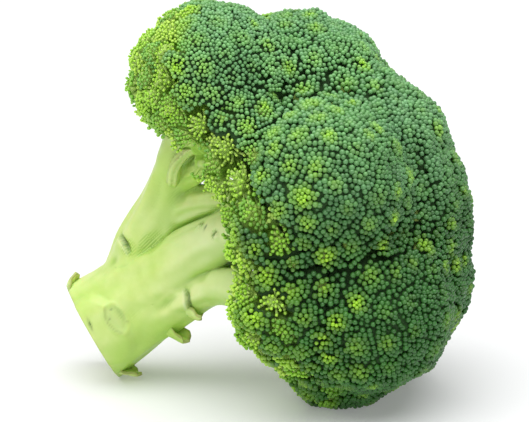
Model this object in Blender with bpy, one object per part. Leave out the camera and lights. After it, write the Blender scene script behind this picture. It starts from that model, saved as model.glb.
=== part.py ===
"""One head of broccoli, as cut and laid on its side: a pale forked stalk and its dark green florets.

Metres, +Z up, resting on z = 0. The head lies on the cut end of its stalk, at -X, and on the two
lowest florets of its crown, at +X. Each floret is a dome of bud clusters round a centre of its own,
held on its own branch of the stalk.
"""

import itertools
import math
import random

import bmesh
import bpy
import numpy as np
from mathutils import Matrix, Vector

MM = 0.001
SEED = 7
CUT_WELD = 0.02 * MM
CORNER_WELD = 0.1 * MM

# The stalk: the trunk and the limbs it splits into, as points and radii in millimetres.
SHIFT = Vector((27.493, -17.621, 0.0)) * MM  # puts the origin under the middle of the resting head
CUT_CENTRE = Vector((-95, 40, 17.4)) * MM
CUT_FACES = Vector((-0.87, -0.13, -0.48)).normalized()
CUT_OVERRUN = 14 * MM  # stem beyond the cut, which the cut takes off
LIMBS = {
    "trunk": [
        (-95, 40, 17.4, 20.5), (-78, 34, 30, 17.5), (-60, 29, 43, 12), (-36, 20, 57, 9), (-12, 12, 68, 8),
    ],
    "upper": [(-86, 38, 27, 12), (-74.5, 34, 53, 11), (-63, 29, 76, 9.7), (-56, 20, 98, 8.5)],
    "front": [(-86, 33, 25, 12), (-66, 25, 43, 11.5), (-52, 17, 55, 10), (-36, 4, 67, 8.5)],
    "lower": [(-85, 31, 18, 10), (-66, 24, 30, 9), (-49, 14, 41, 7), (-34, -2, 45, 6.5)],
    "back": [(-83, 44, 25, 13), (-62, 44, 40, 11), (-38, 46, 52, 9.5), (-14, 48, 64, 8)],
    "side": [(-68, 31, 62, 8), (-56, 24, 71, 6.5), (-43, 14, 76, 5.5), (-22, -4, 83, 5)],
}
BRANCHLETS = 5  # under each floret
BRANCHLETS_PART_AT = 0.72  # of the way along the branch
BRANCHLET_SPREAD = 0.62  # of the floret's radius, out from its middle
BRANCHLET_SAG = 0.06  # of the floret's radius
BRANCHLET_RADIUS = 3.0 * MM
BRANCHLET_TAPER = (1.35, 1.1, 1.0)
FULL_FLORET = 20 * MM  # a smaller floret has thinner branchlets
STALK_VOXEL = 1.3 * MM
STALK_SOFTENING = (0.6, 7)
STALK_TRIANGLES = 3000
CUT_BLOCK = 90 * MM
FLOOR_BLOCK = 300 * MM

# The florets: centre and radius in millimetres, the limb each grows from and how far along it (0 to
# 1), and its branch's radius at the foot and under the floret.
FLORETS = {
    "floret_upper": ((-50, 12, 121), 29, "upper", 0.85, (9.0, 8.0)),
    "floret_upper_side": ((-40, -5, 98), 15, "upper", 0.60, (5.0, 4.0)),
    "floret_top": ((-13, 33, 115), 28, "trunk", 0.70, (8.0, 6.5)),
    "floret_front": ((-5, -21, 88.5), 27, "front", 0.85, (8.0, 7.5)),
    "floret_front_side": ((-26, -20, 71), 15.5, "front", 0.80, (5.5, 4.5)),
    "floret_middle": ((14, 14, 95), 25, "trunk", 0.98, (7.5, 6.5)),
    "floret_outer": ((22, 12, 72), 25, "trunk", 0.98, (7.5, 6.5)),
    "floret_right": ((22, 12, 44), 25.5, "trunk", 0.90, (7.5, 6.5)),
    "floret_low_front": ((11, -16, 40), 28, "front", 0.95, (7.5, 7.0)),
    "floret_base_front": ((-21, -20, 43), 20.5, "lower", 0.90, (6.5, 6.0)),
    "floret_base": ((-2, 6, 22.5), 24, "lower", 0.80, (6.0, 6.0)),
    "floret_back_top": ((-9, 55, 99), 27, "back", 0.75, (8.0, 6.5)),
    "floret_back": ((12, 55, 66), 28, "back", 0.95, (7.5, 6.5)),
    "floret_back_low": ((11, 40, 27), 28, "back", 0.60, (8.0, 6.5)),
}
CREASE_FILL = 8 * MM  # how softly neighbouring florets run together
REACH_RANGE = (0.2, 1.8)  # of its radius: where a floret's outer surface is looked for
REACH_HALVINGS = 18
FLORET_BOX = 2.0  # of its radius: a block that holds all of a floret
NEIGHBOUR_REACH = 1.5  # of two radii together: florets farther apart share no wall
CELL_WEIGHT = 0.6  # how much more of the space between two florets the larger one takes
FLORET_GAP = 0.4 * MM
STALK_GAP = 0.5 * MM
UNDERSIDE_DEPTH = 0.74  # of the radius, below the centre, where the branch meets the floret
UNDERSIDE_SLOPE = 0.25  # how steeply the underside rises to the rim
UNDERSIDE_SIDES = 10

# The bud clusters that cover each floret, several times larger than life.
CLUSTER_SPACING = 4.2 * MM
HIDDEN_SPACING = 9 * MM  # where the surface will be cut away
CLUSTER_DEPTH = 1.8 * MM
PRESSED_HEIGHT = 3 * MM  # below this the clusters are pressed flat
BUNCH_SPACING = 14 * MM  # clusters stand in wider, shallow bunches
BUNCH_DEPTH = 1.6 * MM
BUNCH_EDGE = 0.62  # of the spacing, from a bunch's middle
CANDIDATES = 3500

# Cut leaf bases: limb, how far along it, turn round it, length, width and lift from it.
LEAF_SCALES = [
    ("trunk", 0.03, 95, 11, 15, 22),
    ("upper", 0.32, -70, 13, 12, 18),
    ("lower", 0.47, 5, 12, 12, 20),
    ("lower", 0.30, 95, 13, 14, 30),
    ("trunk", 0.03, -75, 13, 12, 42),
]
SCALE_THICKNESS = 1.8 * MM
SCALE_WRAP = 0.9
SCALE_SET_IN = 0.2 * MM


# ---------------------------------------------------------------- scene and meshes


def clear_scene():
    for obj in list(bpy.data.objects):
        bpy.data.objects.remove(obj, do_unlink=True)


def material(name, colour, roughness):
    made = bpy.data.materials.new(name)
    made.use_nodes = True
    surface = made.node_tree.nodes["Principled BSDF"]
    surface.inputs["Base Color"].default_value = (*colour, 1.0)
    surface.inputs["Roughness"].default_value = roughness
    surface.inputs["Metallic"].default_value = 0.0
    return made


def new_object(name, mesh, skin=None):
    obj = bpy.data.objects.new(name, mesh)
    bpy.context.scene.collection.objects.link(obj)
    if skin:
        mesh.materials.append(skin)
    return obj


def helper(obj):
    """Marks an object that only shapes another one."""
    obj.hide_render = True
    obj.display_type = "WIRE"
    return obj


def finished(bm, name):
    """The mesh of a bmesh, facing outwards."""
    bmesh.ops.recalc_face_normals(bm, faces=bm.faces)
    mesh = bpy.data.meshes.new(name)
    bm.to_mesh(mesh)
    bm.free()
    return mesh


def boolean(obj, other, operation):
    modifier = obj.modifiers.new(other.name, "BOOLEAN")
    modifier.operation = operation
    modifier.solver = "EXACT"
    modifier.object = other


def evaluated_mesh(obj, name):
    bpy.context.view_layer.update()
    graph = bpy.context.evaluated_depsgraph_get()
    return bpy.data.meshes.new_from_object(obj.evaluated_get(graph), depsgraph=graph)


def clean_after_cuts(mesh):
    """Merges points that the cuts left almost touching, and removes crumbs beside the main body."""
    bm = bmesh.new()
    bm.from_mesh(mesh)
    bmesh.ops.remove_doubles(bm, verts=bm.verts, dist=CUT_WELD)
    bmesh.ops.dissolve_degenerate(bm, dist=CUT_WELD / 2, edges=bm.edges)
    bmesh.ops.triangulate(bm, faces=bm.faces)
    bodies, left = [], set(bm.verts)
    while left:
        body, edge = set(), [left.pop()]
        while edge:
            vert = edge.pop()
            body.add(vert)
            joined_to = [e.other_vert(vert) for e in vert.link_edges]
            fresh = [v for v in joined_to if v in left]
            left.difference_update(fresh)
            edge.extend(fresh)
        bodies.append(body)
    main_body = max(bodies, key=len)
    bmesh.ops.delete(bm, geom=[v for v in bm.verts if v not in main_body], context="VERTS")
    bm.to_mesh(mesh)
    bm.free()


# ---------------------------------------------------------------- the stalk's lines


def on_spline(points, share):
    """A point at a share of the way along a smooth (Catmull-Rom) line through points."""
    ends = [2 * points[0] - points[1], *points, 2 * points[-1] - points[-2]]
    place = min(max(share, 0.0), 0.9999) * (len(points) - 1)
    i, t = int(place), place - int(place)
    a, b, c, d = ends[i : i + 4]
    return 0.5 * (2 * b + (c - a) * t + (2 * a - 5 * b + 4 * c - d) * t**2 + (3 * b - a - 3 * c + d) * t**3)


class Limb:
    """The trunk or one of its main limbs: a smooth line with a radius."""

    def __init__(self, rows):
        self.rows = [Vector(row) * MM for row in rows]

    def point(self, share):
        return on_spline(self.rows, share).xyz

    def radius(self, share):
        return on_spline(self.rows, share).w

    def heading(self, share):
        return (self.point(min(share + 0.05, 1.0)) - self.point(max(share - 0.05, 0.0))).normalized()


class Floret:
    """Where one floret is, which way it grows, and the branch that carries it."""

    def __init__(self, name, centre, radius, limb, leaves_at, branch_radii):
        self.name = name
        self.centre = Vector(centre) * MM
        self.radius = radius * MM
        self.branch_radii = [r * MM for r in branch_radii]
        self.foot = limb.point(leaves_at)
        self.leaves_along = limb.heading(leaves_at)
        self.grows = (self.centre - self.foot).normalized()
        self.neck = self.centre - self.grows * self.radius * UNDERSIDE_DEPTH

    def branch_point(self, share):
        """On the branch: it leaves along its limb and arrives along the floret's own heading."""
        reach = (self.neck - self.foot).length / 3
        a, d = self.foot, self.neck
        b, c = a + self.leaves_along * reach, d - self.grows * reach
        t, s = share, 1 - share
        return a * s**3 + 3 * b * s**2 * t + 3 * c * s * t**2 + d * t**3


def make_florets(limbs):
    made = []
    for name, (centre, radius, limb, leaves_at, radii) in FLORETS.items():
        made.append(Floret(name, centre, radius, limbs[limb], leaves_at, radii))
    return made


# ---------------------------------------------------------------- the florets


class Crown:
    """The outer surface of the whole crown, and each floret's own share of the space inside it."""

    def __init__(self, florets):
        self.florets = florets
        self.centres = np.array([f.centre for f in florets])
        self.radii = np.array([f.radius for f in florets])

    def inside(self, points):
        """True within the florets' spheres, run softly together."""
        away = np.linalg.norm(points[:, None, :] - self.centres[None], axis=2)
        return np.exp((self.radii - away) / CREASE_FILL).sum(axis=1) > 1.0

    def outer_reach(self, floret, headings):
        """How far the outer surface is from the floret's centre along each heading."""
        near, far = (np.full(len(headings), end * floret.radius) for end in REACH_RANGE)
        centre = np.array(floret.centre)
        for _ in range(REACH_HALVINGS):
            middle = (near + far) / 2
            within = self.inside(centre + headings * middle[:, None])
            near, far = np.where(within, middle, near), np.where(within, far, middle)
        return near

    def walls(self, floret, gap):
        """Planes round the floret's space as (heading, distance from its centre), heading outwards."""
        planes = [((0.0, 0.0, -1.0), floret.centre.z)]
        for other in self.florets:
            apart = other.centre - floret.centre
            if other is floret or apart.length > NEIGHBOUR_REACH * (floret.radius + other.radius):
                continue
            weights = CELL_WEIGHT * (floret.radius**2 - other.radius**2)
            distance = (apart.length + weights / apart.length) / 2
            planes.append((tuple(apart.normalized()), distance - gap / 2))
        across = floret.grows.orthogonal().normalized()
        for i in range(UNDERSIDE_SIDES):
            out = Matrix.Rotation(math.tau * i / UNDERSIDE_SIDES, 3, floret.grows) @ across
            side = out * UNDERSIDE_SLOPE - floret.grows
            depth = floret.radius * UNDERSIDE_DEPTH / side.length
            planes.append((tuple(side.normalized()), depth - gap / 2))
        for axis in range(3):
            for sign in (-1.0, 1.0):
                planes.append((tuple(np.eye(3)[axis] * sign), FLORET_BOX * floret.radius))
        return np.array([p[0] for p in planes]), np.array([p[1] for p in planes])


def even_headings(count):
    """Unit vectors spread evenly over a sphere, on a spiral."""
    step = np.arange(count) + 0.5
    height, turn = 1 - 2 * step / count, math.pi * (1 + 5**0.5) * step
    out = np.sqrt(1 - height**2)
    return np.stack([out * np.cos(turn), out * np.sin(turn), height], axis=1)


def scattered(places, spacing, rng):
    """Indices of places spread evenly: each next one is the farthest from those taken, in spacings."""
    taken = [rng.randrange(len(places))]
    away = np.linalg.norm(places - places[taken[0]], axis=1) / spacing
    while away.max() > 1.0:
        taken.append(int(away.argmax()))
        away = np.minimum(away, np.linalg.norm(places - places[taken[-1]], axis=1) / spacing)
    return taken


def bunch_depth(places, heads):
    """How far each place lies below its bunch's top: 0 in its middle, BUNCH_DEPTH at its edge."""
    nearest = np.linalg.norm(places[:, None] - heads[None], axis=2).min(axis=1)
    return BUNCH_DEPTH * np.minimum(nearest / (BUNCH_EDGE * BUNCH_SPACING), 1.0) ** 2


def clusters_mesh(floret, crown, rng):
    """The floret's dome as one closed surface: a peak for each cluster, and a pit between each three."""
    headings = even_headings(CANDIDATES)
    places = headings * crown.outer_reach(floret, headings)[:, None]
    heads = places[scattered(places, np.full(len(places), BUNCH_SPACING), rng)]
    planes, distances = crown.walls(floret, FLORET_GAP)
    beyond = (places @ planes.T - distances).max(axis=1)
    spacing = np.where(beyond < CLUSTER_SPACING / 2, CLUSTER_SPACING, HIDDEN_SPACING)
    peaks = headings[scattered(places, spacing, rng)]

    bm = bmesh.new()
    for heading in peaks:
        bm.verts.new(heading)
    bmesh.ops.convex_hull(bm, input=bm.verts)
    bmesh.ops.triangulate(bm, faces=bm.faces)
    ridges = list(bm.edges)
    pits = set(bmesh.ops.poke(bm, faces=bm.faces)["verts"])
    bmesh.ops.rotate_edges(bm, edges=ridges, use_ccw=False)

    headings = np.array([v.co.normalized() for v in bm.verts])
    is_pit = np.array([v in pits for v in bm.verts])
    reach = crown.outer_reach(floret, headings)
    depth = bunch_depth(headings * reach[:, None], heads) + is_pit * CLUSTER_DEPTH
    height = floret.centre.z + headings[:, 2] * reach
    reach = reach - depth * np.clip(height / PRESSED_HEIGHT, 0, 1)
    for vert, heading, distance in zip(bm.verts, headings, reach):
        vert.co = floret.centre + Vector(heading) * distance
    return finished(bm, floret.name)


def walled_solid(floret, crown, gap):
    """The convex block of space between the floret's walls."""
    planes, distances = crown.walls(floret, gap)
    threes = np.array(list(itertools.combinations(range(len(planes)), 3)))
    crossing = threes[np.abs(np.linalg.det(planes[threes])) > 1e-4]
    corners = np.linalg.solve(planes[crossing], distances[crossing][..., None])[..., 0]
    corners = corners[(corners @ planes.T <= distances + 1e-8).all(axis=1)]
    bm = bmesh.new()
    for corner in corners:
        bm.verts.new(floret.centre + Vector(corner))
    bmesh.ops.remove_doubles(bm, verts=bm.verts, dist=CORNER_WELD)
    bmesh.ops.convex_hull(bm, input=bm.verts)
    bmesh.ops.delete(bm, geom=[v for v in bm.verts if not v.link_faces], context="VERTS")
    bmesh.ops.dissolve_limit(bm, angle_limit=0.001, verts=bm.verts, edges=bm.edges)
    return helper(new_object(floret.name + "_walls", finished(bm, floret.name + "_walls")))


def make_floret(floret, crown, skin, rng):
    """One floret: its dome of clusters, kept between its walls."""
    obj = new_object(floret.name, clusters_mesh(floret, crown, rng), skin)
    walls = walled_solid(floret, crown, FLORET_GAP)
    boolean(obj, walls, "INTERSECT")
    mesh = evaluated_mesh(obj, floret.name)
    clean_after_cuts(mesh)
    mesh.transform(Matrix.Translation(SHIFT))
    obj.modifiers.clear()
    obj.data = mesh
    bpy.data.objects.remove(walls)


def floret_cutter(floret, crown):
    """The floret's smooth outline, a little larger, which the stalk is cut back from."""
    bm = bmesh.new()
    bmesh.ops.create_icosphere(bm, subdivisions=4, radius=1.0)
    headings = np.array([v.co.normalized() for v in bm.verts])
    reach = crown.outer_reach(floret, headings) + STALK_GAP
    for vert, heading, distance in zip(bm.verts, headings, reach):
        vert.co = floret.centre + Vector(heading) * distance
    outline = new_object(floret.name + "_outline", finished(bm, floret.name + "_outline"))
    walls = walled_solid(floret, crown, FLORET_GAP - 2 * STALK_GAP)
    boolean(outline, walls, "INTERSECT")
    mesh = evaluated_mesh(outline, floret.name + "_cutter")
    bpy.data.objects.remove(outline)
    bpy.data.objects.remove(walls)
    return helper(new_object(mesh.name, mesh))


# ---------------------------------------------------------------- the stalk


def tube(name, points, radii):
    """A round tapering tube through points, closed at both ends."""
    curve = bpy.data.curves.new(name, "CURVE")
    curve.dimensions = "3D"
    curve.bevel_depth = 1.0
    curve.bevel_resolution = 4
    curve.use_fill_caps = True
    spline = curve.splines.new("POLY")
    spline.points.add(len(points) - 1)
    for point, place, radius in zip(spline.points, points, radii):
        point.co = (*place, 1.0)
        point.radius = radius
    obj = new_object(name, curve)
    mesh = evaluated_mesh(obj, name)
    bpy.data.objects.remove(obj)
    return mesh


def limb_tube(name, limb):
    shares = [i / 12 for i in range(13)]
    points, radii = [limb.point(s) for s in shares], [limb.radius(s) for s in shares]
    if name == "trunk":
        points.insert(0, points[0] - limb.heading(0.0) * CUT_OVERRUN)
        radii.insert(0, radii[0])
    return tube(name, points, radii)


def branch_tube(floret):
    shares = [i / 8 for i in range(9)]
    foot, tip = floret.branch_radii
    radii = [foot + (tip - foot) * s for s in shares]
    return tube("branch", [floret.branch_point(s) for s in shares], radii)


def branchlet_tubes(floret, rng):
    """Short stems that fan out from the end of a branch into the floret's underside."""
    start = floret.branch_point(BRANCHLETS_PART_AT)
    across = floret.grows.orthogonal().normalized()
    turn_by = rng.uniform(0, math.tau)
    for i in range(BRANCHLETS):
        turn = turn_by + math.tau * i / BRANCHLETS + rng.uniform(-0.25, 0.25)
        out = Matrix.Rotation(turn, 3, floret.grows) @ across
        rise = floret.radius * (UNDERSIDE_SLOPE * BRANCHLET_SPREAD - UNDERSIDE_DEPTH)
        end = floret.centre + out * floret.radius * BRANCHLET_SPREAD + floret.grows * rise
        end += floret.grows * 2 * BRANCHLET_RADIUS
        middle = (start + end) / 2 - floret.grows * BRANCHLET_SAG * floret.radius
        radius = BRANCHLET_RADIUS * min(1.0, floret.radius / FULL_FLORET)
        yield tube("branchlet", [start, middle, end], [radius * taper for taper in BRANCHLET_TAPER])


def leaf_scale(place, heading, across, length, width, lift):
    """What is left of a cut leaf: a thin rounded scale that lifts off the stem towards the crown."""
    bm = bmesh.new()
    bmesh.ops.create_icosphere(bm, subdivisions=2, radius=1.0)
    bmesh.ops.scale(bm, vec=(length / 2, width / 2, SCALE_THICKNESS / 2), verts=bm.verts)
    for vert in bm.verts:
        vert.co.z -= (vert.co.y / width) ** 2 * width * SCALE_WRAP  # follows the round of the stem
    side = across.cross(heading).normalized()
    axes = Matrix((heading, side, across)).transposed().to_4x4()
    tilt = Matrix.Rotation(-math.radians(lift), 4, "Y")
    bm.transform(Matrix.Translation(place) @ axes @ tilt)
    bmesh.ops.recalc_face_normals(bm, faces=bm.faces)
    mesh = bpy.data.meshes.new("leaf_scale")
    bm.to_mesh(mesh)
    bm.free()
    return mesh


def leaf_scales(limbs):
    for where, share, turn, length, width, lift in LEAF_SCALES:
        limb = limbs[where]
        heading = limb.heading(share)
        level = heading.cross(Vector((0, 0, 1))).normalized()
        across = Matrix.Rotation(math.radians(turn), 3, heading) @ level
        place = limb.point(share) + across * (limb.radius(share) - SCALE_SET_IN)
        yield leaf_scale(place, heading, across, length * MM, width * MM, lift)


def joined(name, meshes):
    bm = bmesh.new()
    for mesh in meshes:
        bm.from_mesh(mesh)
    mesh = bpy.data.meshes.new(name)
    bm.to_mesh(mesh)
    bm.free()
    return mesh


def cut_end():
    """A block that takes off the stem beyond its cut end."""
    bm = bmesh.new()
    bmesh.ops.create_cube(bm, size=CUT_BLOCK)
    turn = CUT_FACES.to_track_quat("Z", "Y").to_matrix().to_4x4()
    bm.transform(Matrix.Translation(CUT_CENTRE + CUT_FACES * CUT_BLOCK / 2) @ turn)
    mesh = bpy.data.meshes.new("cut_end")
    bm.to_mesh(mesh)
    bm.free()
    return helper(new_object("cut_end", mesh))


def floor_block():
    """A block that keeps the stalk above the surface it rests on."""
    bm = bmesh.new()
    bmesh.ops.create_cube(bm, size=FLOOR_BLOCK)
    bm.transform(Matrix.Translation((0, 0, -FLOOR_BLOCK / 2)))
    mesh = bpy.data.meshes.new("floor_block")
    bm.to_mesh(mesh)
    bm.free()
    return helper(new_object("floor_block", mesh))


def make_stalk(limbs, florets, crown, skin, rng):
    """The stem and all its branches, grown together, cut at its end and back from every floret."""
    tubes = [limb_tube(name, limb) for name, limb in limbs.items()]
    for floret in florets:
        tubes.append(branch_tube(floret))
        tubes.extend(branchlet_tubes(floret, rng))
    grown = new_object("stalk_limbs", joined("stalk_limbs", tubes))
    remesh = grown.modifiers.new("grown_together", "REMESH")
    remesh.mode = "VOXEL"
    remesh.voxel_size = STALK_VOXEL
    soften = grown.modifiers.new("soften", "SMOOTH")
    soften.factor, soften.iterations = STALK_SOFTENING
    full = evaluated_mesh(grown, "full")
    fewer = grown.modifiers.new("fewer", "DECIMATE")
    fewer.ratio = STALK_TRIANGLES / (2 * len(full.polygons))
    mesh = evaluated_mesh(grown, "stalk")
    bpy.data.objects.remove(grown)

    stalk = new_object("stalk", mesh, skin)
    for i, scale_mesh in enumerate(leaf_scales(limbs)):
        scale = helper(new_object(f"leaf_scale_{i}", scale_mesh))
        boolean(stalk, scale, "UNION")
    boolean(stalk, cut_end(), "DIFFERENCE")
    for floret in florets:
        boolean(stalk, floret_cutter(floret, crown), "DIFFERENCE")
    boolean(stalk, floor_block(), "DIFFERENCE")
    final = evaluated_mesh(stalk, "stalk")
    clean_after_cuts(final)
    stalk.modifiers.clear()
    final.transform(Matrix.Translation(SHIFT))
    stalk.data = final
    for obj in [o for o in bpy.data.objects if o.hide_render]:
        bpy.data.objects.remove(obj)
    return stalk


def main():
    clear_scene()
    rng = random.Random(SEED)
    pale_green = material("pale_green", (0.52, 0.66, 0.22), 0.45)
    dark_green = material("dark_green", (0.07, 0.19, 0.05), 0.6)
    limbs = {name: Limb(rows) for name, rows in LIMBS.items()}
    florets = make_florets(limbs)
    crown = Crown(florets)
    make_stalk(limbs, florets, crown, pale_green, rng)
    for floret in florets:
        make_floret(floret, crown, dark_green, rng)


main()
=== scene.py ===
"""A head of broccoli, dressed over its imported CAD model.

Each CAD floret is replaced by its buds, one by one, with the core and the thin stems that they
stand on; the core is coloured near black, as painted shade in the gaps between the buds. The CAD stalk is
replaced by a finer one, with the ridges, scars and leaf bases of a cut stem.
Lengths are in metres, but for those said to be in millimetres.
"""

import math

import bmesh
import bpy
import numpy as np
from mathutils import Matrix, Vector
from mathutils.kdtree import KDTree


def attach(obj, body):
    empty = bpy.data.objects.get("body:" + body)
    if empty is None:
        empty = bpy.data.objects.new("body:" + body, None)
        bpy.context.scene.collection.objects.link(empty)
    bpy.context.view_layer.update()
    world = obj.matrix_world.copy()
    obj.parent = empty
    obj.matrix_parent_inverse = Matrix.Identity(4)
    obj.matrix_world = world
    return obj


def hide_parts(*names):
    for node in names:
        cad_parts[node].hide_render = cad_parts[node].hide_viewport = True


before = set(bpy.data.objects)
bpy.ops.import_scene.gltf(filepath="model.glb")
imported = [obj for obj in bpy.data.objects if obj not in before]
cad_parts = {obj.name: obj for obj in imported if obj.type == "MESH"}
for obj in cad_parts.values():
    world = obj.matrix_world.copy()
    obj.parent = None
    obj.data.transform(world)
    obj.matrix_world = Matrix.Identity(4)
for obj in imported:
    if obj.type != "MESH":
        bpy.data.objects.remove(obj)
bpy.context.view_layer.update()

MM = 0.001
SEED = 11

# ---- The same lines as in part.py: limbs and florets, in millimetres before SHIFT.
SHIFT = Vector((27.493, -17.621, 0.0))


def shifted(place):
    """Where a place in millimetres before SHIFT is, in metres."""
    return (Vector(place) + SHIFT) * MM


CUT_CENTRE = shifted((-95, 40, 17.4))
CUT_FACES = Vector((-0.87, -0.13, -0.48)).normalized()
CUT_OVERRUN = 14 * MM
# Each limb's line: x, y, z and radius.
LIMBS = {
    "trunk": [
        (-95, 40, 17.4, 20.5), (-78, 34, 30, 17.5), (-60, 29, 43, 12), (-36, 20, 57, 9), (-12, 12, 68, 8),
    ],
    "upper": [(-86, 38, 27, 12), (-74.5, 34, 53, 11), (-63, 29, 76, 9.7), (-56, 20, 98, 8.5)],
    "front": [(-86, 33, 25, 12), (-66, 25, 43, 11.5), (-52, 17, 55, 10), (-36, 4, 67, 8.5)],
    "lower": [(-85, 31, 18, 10), (-66, 24, 30, 9), (-49, 14, 41, 7), (-34, -2, 45, 6.5)],
    "back": [(-83, 44, 25, 13), (-62, 44, 40, 11), (-38, 46, 52, 9.5), (-14, 48, 64, 8)],
    "side": [(-68, 31, 62, 8), (-56, 24, 71, 6.5), (-43, 14, 76, 5.5), (-22, -4, 83, 5)],
}
# Each floret's centre and radius, its limb and the share along it where its branch leaves, and that
# branch's radius at its foot and at its tip.
FLORETS = {
    "upper": ((-50, 12, 121), 29, "upper", 0.85, (9.0, 8.0)),
    "upper_side": ((-40, -5, 98), 15, "upper", 0.60, (5.0, 4.0)),
    "top": ((-13, 33, 115), 28, "trunk", 0.70, (8.0, 6.5)),
    "front": ((-5, -21, 88.5), 27, "front", 0.85, (8.0, 7.5)),
    "front_side": ((-26, -20, 71), 15.5, "front", 0.80, (5.5, 4.5)),
    "middle": ((14, 14, 95), 25, "trunk", 0.98, (7.5, 6.5)),
    "outer": ((22, 12, 72), 25, "trunk", 0.98, (7.5, 6.5)),
    "right": ((22, 12, 44), 25.5, "trunk", 0.90, (7.5, 6.5)),
    "low_front": ((11, -16, 40), 28, "front", 0.95, (7.5, 7.0)),
    "base_front": ((-21, -20, 43), 20.5, "lower", 0.90, (6.5, 6.0)),
    "base": ((-2, 6, 22.5), 24, "lower", 0.80, (6.0, 6.0)),
    "back_top": ((-9, 55, 99), 27, "back", 0.75, (8.0, 6.5)),
    "back": ((12, 55, 66), 28, "back", 0.95, (7.5, 6.5)),
    "back_low": ((11, 40, 27), 28, "back", 0.60, (8.0, 6.5)),
}
CREASE_FILL = 8 * MM  # how softly neighbouring florets run together
CELL_WEIGHT = 0.6  # how much more room a larger floret takes
UNDERSIDE_DEPTH = 0.74  # of a floret's flat underside below its centre, in its radii
UNDERSIDE_SLOPE = 0.25
RIM_HANG = 3 * MM  # how far the buds of the carpet's rim hang below the florets' undersides
HEADING_STEP = 0.05  # the share of a limb over which its heading is taken
ON_FLOOR = 0.02 * MM  # anything lower lies on the floor

# ---- The crown's surface.
SEARCH = (0.2, 1.8)  # where the crown's surface is looked for, in a floret's radii from its centre
SEARCH_ROUNDS = 15
SOFT_CREASE = 0.25  # how deep the creases are, as a share of CREASE_DEPTH, but for those listed
DEEP_CREASES = {
    1.0: [("front", "low_front"), ("front_side", "base_front"), ("front", "base_front")],
    0.9: [("upper_side", "front")],
    0.8: [("upper", "front")],
    0.7: [("base_front", "low_front"), ("right", "low_front")],
    0.6: [("right", "outer"), ("base", "low_front")],
    0.5: [("upper", "top")],
    0.45: [("front", "middle")],
}
CREASE_DEPTH = 2.2 * MM
CREASE_WIDTH = 4.5 * MM
BUNCH_SPACING = 11.5 * MM
BUNCH_UNEVEN = (0.8, 1.15)  # the spread of that spacing
BUNCH_EDGE = 0.55 * BUNCH_SPACING
BUNCH_RISE = 0.65 * MM  # of a bunch's middle above its edge
LOOSE_RISE = 1.8  # how much more, among loose buds
UNEVEN = 1.0 * MM  # rises and dips of the whole carpet, a bunch or two across
UNEVEN_WIDTH = 2.3 * MM
PRESSED = 4 * MM  # the carpet is pressed flat below this height
BUNCH_ROOT = 13 * MM  # below the surface, where a bunch's stems part
WANDER = 1.6 * MM  # how far the outline of a bunch wanders
WANDER_WIDTHS = (2.1 * MM, 0.9 * MM)

# ---- The buds.
BUD_MIDDLE = 1.2 * MM  # bud spacing in the middle of a young bunch
BUD_EDGE = 2.02 * MM  # and at its edge
BUD_GROWS_OVER = 4.6 * MM
YOUNG_SPOT = (1.8 * MM, 3.4 * MM)  # radii of the spots of young buds
# The florets whose buds stand closer.
FINER = {"upper": 0.76, "upper_side": 0.8, "top": 0.86, "back_top": 0.86}
PLACE_SPACING = 0.75 * MM  # between the places that buds are chosen from
PACKING = 0.76  # how close buds are chosen, before they are eased apart to their full spacing
BUNCH_ROUNDS, BUD_ROUNDS = 3, 8  # of easing apart
PUSH = 0.3  # how far two that crowd each other move apart in a round
BUD_RADIUS = 0.56  # in bud spacings
BUD_SCATTER = 1.2 * MM  # how unevenly buds point away from their bunch's root
SUNK_SHARE, SUNK = 0.05, 0.9 * MM  # a few buds that stand lower
LOOSE_SUNK, TUFT_SUNK = 1.1 * MM, 1.5 * MM  # how unevenly high loose buds stand, and more in tufts
BUD_SIDES = 6
BUD_PROFILE = [(0.84, 0.52), (0.42, 0.88), (-0.2, 1.0)]  # height and radius, in bud radii
BUD_TIP, BUD_ROOT = 1.0, -2.1  # the heights of its two ends
STALKWARD = (-0.93, -0.05, -0.36)
LEFTWARD = (-0.93, -0.25, 0.25)
# Where buds stand loose: the way that the surface faces there, and how squarely it has to.
OPENINGS = {
    "upper": (LEFTWARD, 0.42),
    "upper_side": (STALKWARD, 0.05),
    "front_side": (STALKWARD, 0.30),
    "base_front": (STALKWARD, 0.40),
}
OPENS_ELSE = (STALKWARD, 0.60)
# Tufts that have opened so far that their stems show, in millimetres before SHIFT.
TUFTS = [
    (-41, -25, 101), (-27, -42, 49), (-30, -30, 31), (-67, -12, 120), (-68, -10, 130),
    (-36, -33, 86), (-56, -18, 107),
]
TUFT_LOOSE = 1.25  # how far apart a tuft's buds stand
TUFT_FINE = 0.72  # and how small they are
# A gap in the carpet over the top of the stalk: its centre before SHIFT, and its radius.
CLEARED = ((-55, -16, 95), 6.5)

# ---- What the buds stand on: the cores and the stems.
CORE_DEPTH = 1.7 * MM  # of the core below the bud tips
OPEN_DEPTH = 3.2 * MM  # deeper still among loose buds
TUFT_DEPTH = 5 * MM  # and under tufts
SHELL = 8 * MM  # from the crown's surface to the open space where the stems fan out
SHELL_LEAST, SHELL_AT_WALL = 2 * MM, 0.5 * MM  # its least thickness, and that where it meets a wall
SHELL_WAVES, SHELL_WAVE_WIDTH = 0.15, 1.9 * MM
CORE_POINTS = 3000
BUNCH_STEM = [2.4, 2.1, 1.9, 1.7, 1.6, 1.5, 1.6, 2.2]  # radii along a bunch's stem, in millimetres
BUD_STEM = [0.62, 0.5, 0.45, 0.6]  # and along a bud's own
STEM_SIDES = (6, 4)
BUNCH_STEM_ENDS, BUD_STEM_STARTS = 5 * MM, 9 * MM  # below the surface
SHOWS_IN, SHOWS_OPEN = 6 * MM, 0.25  # single stems show this near the rim, or where buds stand this loose


# ---- lines and surfaces, as in part.py


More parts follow.
